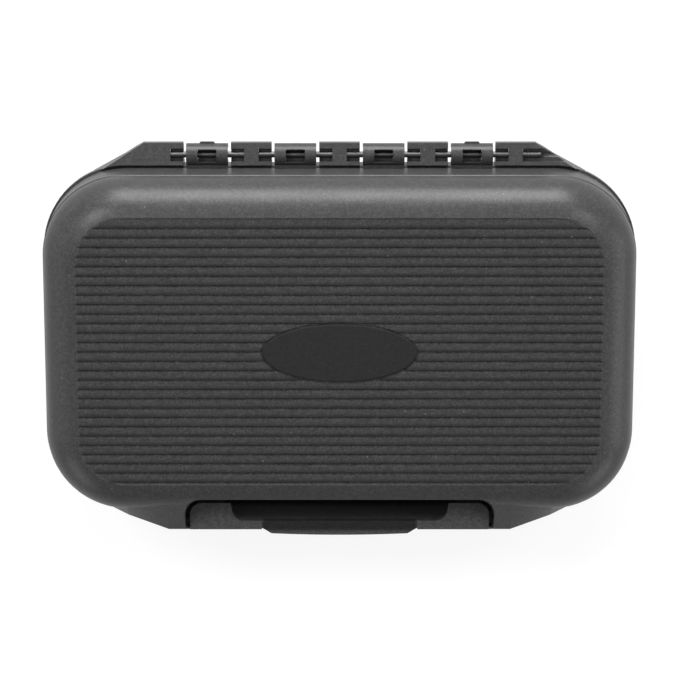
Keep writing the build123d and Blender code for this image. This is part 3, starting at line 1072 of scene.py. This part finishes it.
@dataclass
class LatchTrim:
    """Fine forms of the latch: the ears' back edges and the plate's closed sides."""

    finish: bpy.types.Material
    recess: Recess = field(default_factory=Recess)
    ear_inset: float = 0.9 * MM
    ear_width: float = 10.45 * MM
    ear_root: float = 2.5 * MM
    ear_slant: float = 0.16
    ear_back: float = 0.2 * MM
    ear_thick: float = 1.1 * MM
    ear_tip: float = 1.125 * MM
    corner_r: float = 3.0 * MM
    corner_steps: int = 8
    proud: float = 0.02 * MM
    side_clear: float = 0.03 * MM
    skirt_inset: float = 1.2 * MM
    skirt_foot: float = 6.0 * MM
    ear_drop: float = 2.0 * MM
    plate: float = 2.2 * MM
    ridge: float = 0.45 * MM
    crease: float = math.radians(30)

    def build(self) -> None:
        """Builds the ears' edges and the skirts on both sides."""
        for side, label in ((-1.0, "left"), (1.0, "right")):
            self.ear(side, label)
            self.skirt(side, label)

    def solid(self, name: str, near: list[Vector], shift: Vector) -> None:
        """Builds a closed piece from an outline and its copy.

        Args:
            name: the piece's name.
            near: the outline's points.
            shift: from the outline to its copy.
        """
        shape = bmesh.new()
        first = [shape.verts.new(point) for point in near]
        second = [shape.verts.new(point + shift) for point in near]
        shape.faces.new(first)
        shape.faces.new(list(reversed(second)))
        for i in range(len(near)):
            j = (i + 1) % len(near)
            shape.faces.new((first[i], second[i], second[j], first[j]))
        bmesh.ops.recalc_face_normals(shape, faces=shape.faces)
        piece = new_piece(name, shape, self.finish, self.crease)
        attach(piece, "latch")

    def ear(self, side: float, label: str) -> None:
        """Builds the top of one ear, out to its real back edge.

        Args:
            side: -1 on the left, 1 on the right.
            label: the side's name.
        """
        high = node_box("latch")[1]
        outer = high[0] - self.ear_inset
        root, back = self.recess.front() + self.ear_root, high[1] - self.ear_back
        inner = outer - self.ear_width
        tip = high[1] - self.ear_tip
        points = [(inner + self.ear_slant * (y - tip), y) for y in (root, back)]
        r = self.corner_r
        for step in range(self.corner_steps + 1):
            angle = math.pi / 2 * (1 - step / self.corner_steps)
            points.append((outer - r + r * math.cos(angle), back - r + r * math.sin(angle)))
        points.append((outer, root))
        top = high[2] + self.proud
        ring = [Vector((side * (x + (self.proud if x > inner + r else 0.0)), y, top)) for x, y in points]
        self.solid(f"ear_top_{label}", ring, Vector((0, 0, -self.ear_thick)))

    def skirt(self, side: float, label: str) -> None:
        """Builds the strip that closes the gap beside the plate, and its ridge under the ear.

        Args:
            side: -1 on the left, 1 on the right.
            label: the side's name.
        """
        low, high = node_box("latch")
        front = self.recess.front() + self.proud
        shoulder = high[2] - self.ear_drop + self.proud
        foot = low[2] + self.skirt_foot
        outline = [
            (front, foot),
            (front + self.plate, foot + self.plate),
            (front + self.plate, shoulder),
            (front + 2 * self.ridge, shoulder),
            (front + self.ridge, high[2] - self.ridge / 2),
            (front + self.ridge / 2, high[2] - self.proud),
            (front, high[2] - self.ridge / 2),
        ]
        outer = self.recess.half() - self.side_clear
        ring = [Vector((side * outer, y, z)) for y, z in outline]
        self.solid(f"latch_skirt_{label}", ring, Vector((-side * self.skirt_inset, 0, 0)))


@dataclass
class RimSeal:
    """The gasket in the base's rim."""

    finish: bpy.types.Material

    def build(self) -> None:
        """Dresses the gasket."""
        dress("gasket", self.finish)


@dataclass
class FoamTray:
    """The slit foam in one half of the case."""

    half: Half
    finish: bpy.types.Material
    strips: int = 6
    slit_pitch: float = 3.5 * MM
    slit_width: float = 0.45 * MM
    slit_depth: float = 5.2 * MM
    crown_r: float = 1.1 * MM
    crown_steps: int = 4
    edge_r: float = 0.5 * MM
    edge_steps: int = 3
    margin: float = 0.02 * MM
    weld: float = 0.001 * MM
    flat_angle: float = 0.02
    rim_angle: float = 1.0
    crease: float = math.radians(35)

    def build(self) -> None:
        """Builds the backing sheet and every strip of this half."""
        self.sheet()
        for index in range(1, self.strips + 1):
            self.strip(index)

    def register(self, piece: bpy.types.Object, node: str) -> None:
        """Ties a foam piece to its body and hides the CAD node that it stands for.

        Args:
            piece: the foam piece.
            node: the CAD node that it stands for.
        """
        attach(piece, self.half.value)
        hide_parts(node)

    def sheet(self) -> None:
        """Builds the backing sheet with softened edges."""
        node = f"{self.half.value}_foam_sheet"
        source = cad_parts[node]
        shape = bmesh.new()
        shape.from_mesh(source.data)
        bmesh.ops.remove_doubles(shape, verts=shape.verts, dist=self.weld)
        bmesh.ops.dissolve_limit(
            shape, angle_limit=self.flat_angle, verts=shape.verts, edges=shape.edges
        )
        rims = [
            edge
            for edge in shape.edges
            if len(edge.link_faces) == 2 and edge.calc_face_angle() > self.rim_angle
        ]
        bmesh.ops.bevel(
            shape, geom=rims, offset=self.edge_r, segments=self.edge_steps, affect="EDGES", profile=0.5
        )
        self.register(new_piece(f"{self.half.value}_backing", shape, self.finish), node)

    def section(self, width: float, height: float, cut: float) -> list[tuple[float, float]]:
        """The strip's outline across its length, its top lowered to a cut.

        Args:
            width: half the strip's width.
            height: the strip's height.
            cut: the most that the outline may reach upward.

        Returns:
            The outline's points, across and up.
        """
        r = self.crown_r
        points = [(-width, 0.0), (-width, (height - r) * 0.5)]
        for step in range(self.crown_steps + 1):
            angle = math.pi - step * math.pi / (2 * self.crown_steps)
            points.append((-width + r + r * math.cos(angle), height - r + r * math.sin(angle)))
        points += [(-x, z) for x, z in reversed(points)]
        return [(x, min(z, cut)) for x, z in points]

    def stations(self, length: float) -> list[tuple[float, bool]]:
        """Where the strip's outlines stand along its length.

        Args:
            length: the strip's length.

        Returns:
            Each outline's place and whether it is the floor of a slit.
        """
        count = int(length / self.slit_pitch) - 1
        first = (length - (count - 1) * self.slit_pitch) / 2
        places: list[tuple[float, bool]] = [(0.0, False)]
        for index in range(count):
            middle = first + index * self.slit_pitch
            places.append((middle - self.slit_width / 2, False))
            places.append((middle, True))
            places.append((middle + self.slit_width / 2, False))
        return [*places, (length, False)]

    def strip(self, index: int) -> None:
        """Builds one slit strip.

        Args:
            index: the strip's number from the latch side.
        """
        node = f"{self.half.value}_foam_strip_{index}"
        low, high = node_box(node)
        length = high[0] - low[0] - 2 * self.margin
        width = (high[1] - low[1]) / 2 - self.margin
        height = high[2] - low[2] - self.margin
        middle = (low[1] + high[1]) / 2
        up = 1.0 if self.half is Half.BASE else -1.0
        root = low[2] if self.half is Half.BASE else high[2]
        shape = bmesh.new()
        loops = []
        for place, slit in self.stations(length):
            cut = height - self.slit_depth if slit else height
            ring = [
                shape.verts.new((low[0] + self.margin + place, middle + y, root + up * z))
                for y, z in self.section(width, height, cut)
            ]
            loops.append(ring)
        count = len(loops[0])
        for first, second in zip(loops, loops[1:]):
            for i in range(count):
                j = (i + 1) % count
                shape.faces.new((first[i], first[j], second[j], second[i]))
        shape.faces.new(loops[0])
        shape.faces.new(list(reversed(loops[-1])))
        bmesh.ops.recalc_face_normals(shape, faces=shape.faces)
        name = f"{self.half.value}_slit_foam_{index}"
        self.register(new_piece(name, shape, self.finish, self.crease), node)


# ----------------------------------------------------------------------- studio


@dataclass(frozen=True)
class SoftBox:
    """One area lamp of the studio."""

    name: str
    place: tuple[float, float, float]
    size: float
    power: float

    def light(self, target: Vector) -> None:
        """Hangs the lamp and points it.

        Args:
            target: the point that it faces.
        """
        lamp = bpy.data.lights.new(self.name, "AREA")
        lamp.shape = "SQUARE"
        lamp.size = self.size
        lamp.energy = self.power
        holder = bpy.data.objects.new(self.name, lamp)
        bpy.context.scene.collection.objects.link(holder)
        holder.location = self.place
        aim = target - Vector(self.place)
        holder.rotation_mode = "QUATERNION"
        holder.rotation_quaternion = aim.to_track_quat("-Z", "Y")


@dataclass
class Studio:
    """The floor, the lamps, the world and the camera."""

    aim: tuple[float, float, float] = (0.00012, 0.00414, 0.043)
    distance: float = 0.685
    tilt: float = math.radians(13.1)
    lens: float = 146.4
    sensor: float = 36.0
    clip_start: float = 0.01
    floor_size: float = 6.0
    floor_drop: float = 0.05 * MM
    floor_shade: float = 0.2
    floor_roughness: float = 0.9
    floor_glow: float = 0.83
    floor_mirrored: float = 0.65
    world_level: float = 0.22
    world_mirrored: float = 0.45
    lamp_aim: tuple[float, float, float] = (0.0, 0.0, 0.02)
    lamps: tuple[SoftBox, ...] = (
        SoftBox("lamp_back", (0.0, 0.9, 0.25), 0.5, 14.0),
        SoftBox("lamp_top", (0.0, 0.1, 1.1), 0.9, 0.8),
        SoftBox("lamp_left_high", (-0.5, 0.5, 0.8), 0.3, 5.5),
        SoftBox("lamp_right_high", (0.5, 0.5, 0.8), 0.3, 2.6),
        SoftBox("lamp_left_front", (-0.65, -0.65, 0.3), 0.4, 1.6),
        SoftBox("lamp_right_front", (0.65, -0.65, 0.3), 0.4, 2.0),
        SoftBox("lamp_left", (-0.85, -0.05, 0.22), 0.6, 1.2),
        SoftBox("lamp_right", (0.85, -0.05, 0.22), 0.6, 3.2),
    )

    def build(self) -> None:
        """Sets up the whole studio."""
        self.camera()
        self.floor()
        self.world()
        for lamp in self.lamps:
            lamp.light(Vector(self.lamp_aim))
        bpy.context.scene.view_settings.view_transform = "Standard"

    def camera(self) -> None:
        """Places the camera over the lid, tilted towards the hinge."""
        data = bpy.data.cameras.new("view_camera")
        data.sensor_width = self.sensor
        data.lens = self.lens
        data.clip_start = self.clip_start
        camera = bpy.data.objects.new("view_camera", data)
        bpy.context.scene.collection.objects.link(camera)
        back = Vector((0.0, math.sin(self.tilt), math.cos(self.tilt)))
        up = Vector((0.0, math.cos(self.tilt), -math.sin(self.tilt)))
        right = up.cross(back)
        turn = Matrix((right, up, back)).transposed().to_4x4()
        camera.matrix_world = Matrix.Translation(Vector(self.aim) + back * self.distance) @ turn
        bpy.context.scene.camera = camera

    def floor(self) -> None:
        """Lays the pale floor, which shows white and keeps the shadow."""
        half = self.floor_size / 2
        low = -self.floor_drop
        corners = [(-half, -half, low), (half, -half, low), (half, half, low), (-half, half, low)]
        mesh = bpy.data.meshes.new("floor_mesh")
        mesh.from_pydata(corners, [], [(0, 1, 2, 3)])
        floor = bpy.data.objects.new("floor", mesh)
        bpy.context.scene.collection.objects.link(floor)
        material, wire, shader = blank_material("pale_floor")
        shader.inputs["Base Color"].default_value = (*cool_grey(self.floor_shade, tint=1.0), 1.0)
        shader.inputs["Roughness"].default_value = self.floor_roughness
        shader.inputs["Specular IOR Level"].default_value = 0.0
        shader.inputs["Emission Color"].default_value = (1.0, 1.0, 1.0, 1.0)
        glow = self.backdrop(wire, self.floor_glow, self.floor_mirrored)
        wire.join(glow, shader.inputs["Emission Strength"])
        mesh.materials.append(material)

    def world(self) -> None:
        """Sets the even light of the room, which shows white to the camera."""
        world = bpy.data.worlds.new("room")
        bpy.context.scene.world = world
        world.use_nodes = True
        wire = Wiring(world.node_tree)
        back = next(n for n in world.node_tree.nodes if n.type == "BACKGROUND")
        back.inputs["Color"].default_value = (1.0, 1.0, 1.0, 1.0)
        glow = self.backdrop(wire, 1.0, self.world_mirrored)
        wire.join(wire.math("MAXIMUM", glow, self.world_level), back.inputs["Strength"])

    def backdrop(self, wire: Wiring, plain: float, mirrored: float) -> bpy.types.NodeSocket:
        """How bright the room shows to the camera and in the object's gloss.

        Args:
            wire: the wiring of the floor's material or of the world.
            plain: the strength that the camera sees.
            mirrored: the strength that gloss and glass see.

        Returns:
            The strength's socket, 0 for every other ray.
        """
        path = wire.add("ShaderNodeLightPath").outputs
        gloss = wire.math("MAXIMUM", path["Is Glossy Ray"], path["Is Transmission Ray"])
        seen = wire.math("MULTIPLY", path["Is Camera Ray"], plain)
        return wire.math("MAXIMUM", seen, wire.math("MULTIPLY", gloss, mirrored))


def main() -> None:
    """Builds the studio and every part of the fly box in order."""
    logging.basicConfig(level=logging.INFO, format="%(name)s: %(message)s")
    effects = Effects()
    Studio().build()
    shell = CasePlastic("case_plastic", shade=0.044, roughness=0.36, gloss=0.2).make(effects)
    latch = LatchPlastic("latch_plastic", shade=0.07, roughness=0.5, gloss=0.06).make(effects)
    CaseShells(shell).build()
    RecessCorners(shell).build()
    FrontLatch(latch).build()
    LatchTrim(latch).build()
    Pins(DrawnSteel().make(effects)).build()
    RimSeal(SealRubber().make(effects)).build()
    foam = CellFoam().make(effects)
    for half in Half:
        FoamTray(half, foam).build()


if __name__ == "__main__":
    main()
